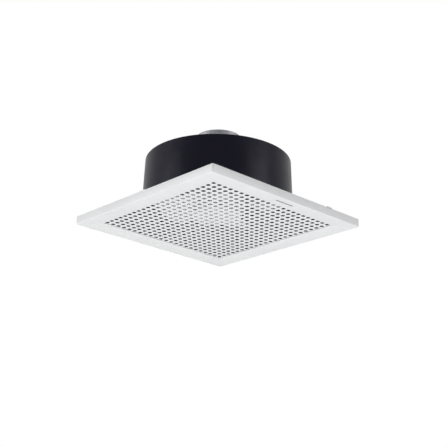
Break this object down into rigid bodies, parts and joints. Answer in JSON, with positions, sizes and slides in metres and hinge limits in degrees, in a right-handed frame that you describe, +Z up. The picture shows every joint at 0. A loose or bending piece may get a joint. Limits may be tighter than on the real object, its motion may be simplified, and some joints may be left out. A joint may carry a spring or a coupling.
{
  "type": "ceiling extractor fan",
  "caption": "Square ceiling extractor fan with a perforated panel, round tapered housing, axial impeller and can motor.",
  "frame": {"origin": "centre of the panel's lowest plane, its room side", "axes": "+Z up into the ceiling along the impeller's axis; X and Y along the panel's sides"},
  "size_m": [0.3, 0.3, 0.1438],
  "materials": {
    "white_plastic": "satin",
    "white_sheet": "powder coated",
    "black_plastic": "satin",
    "grey_plastic": "matte",
    "motor_steel": "satin",
    "spring_steel": "bright",
    "zinc_steel": "zinc plated",
    "copper": "varnished",
    "laminated_steel": "dull",
    "brass": "plain",
    "pale_insulator": "matte"
  },
  "bodies": {
    "housing": {"mounting_flange": "black_plastic", "peg_socket_1": "black_plastic", "peg_socket_2": "black_plastic", "peg_socket_3": "black_plastic", "peg_socket_4": "black_plastic", "catch_bracket_left": "zinc_steel", "catch_bracket_right": "zinc_steel", "housing_shell": "black_plastic", "flange_screw_1": "zinc_steel", "flange_screw_2": "zinc_steel", "flange_screw_3": "zinc_steel", "flange_screw_4": "zinc_steel", "inlet_ring": "black_plastic", "discharge_guard": "black_plastic", "motor_can_lower": "motor_steel", "motor_can_upper": "motor_steel", "motor_screw_1": "zinc_steel", "motor_screw_2": "zinc_steel", "motor_screw_3": "zinc_steel", "motor_screw_4": "zinc_steel", "stator_core": "laminated_steel", "winding_lower": "copper", "winding_upper": "copper", "bearing_lower": "zinc_steel", "bearing_upper": "zinc_steel", "terminal_box": "black_plastic", "terminal_cover": "black_plastic", "cover_screw_1": "zinc_steel", "cover_screw_2": "zinc_steel", "cable_gland": "black_plastic", "terminal_block": "pale_insulator", "run_capacitor": "grey_plastic", "earth_screw": "brass", "motor_lead": "grey_plastic"},
    "rotor": {"motor_shaft": "zinc_steel", "rotor_core": "laminated_steel", "impeller": "white_plastic", "hub_cap": "white_plastic", "impeller_nut": "brass"},
    "panel": {"grille_frame": "white_plastic", "grille_sheet": "white_sheet", "sheet_retainer_1": "grey_plastic", "sheet_retainer_2": "grey_plastic", "sheet_retainer_3": "grey_plastic", "sheet_retainer_4": "grey_plastic", "badge_bar": "grey_plastic", "rim_lug_front": "white_plastic", "rim_lug_rear": "white_plastic"},
    "catch_left": {"catch_left": "spring_steel"},
    "catch_right": {"catch_right": "spring_steel"}
  },
  "joints": [
    {"name": "impeller_spin", "type": "hinge", "parent": "housing", "child": "rotor", "pos_m": [0, 0, 0.07], "axis": [0, 0, 1], "continuous": true},
    {"name": "panel_drop", "type": "slide", "parent": "housing", "child": "panel", "axis": [0, 0, -1], "range_m": [0, 0.05]},
    {"name": "catch_right_flex", "type": "hinge", "parent": "housing", "child": "catch_right", "pos_m": [0.1442, 0, 0.0127], "axis": [0, 1, 0], "range_deg": [0, 8], "stiffness_Nm_per_rad": 0.02, "springref_deg": -2.86},
    {"name": "catch_left_flex", "type": "hinge", "parent": "housing", "child": "catch_left", "pos_m": [-0.1442, 0, 0.0127], "axis": [0, -1, 0], "range_deg": [0, 8], "stiffness_Nm_per_rad": 0.02, "springref_deg": -2.86}
  ]
}
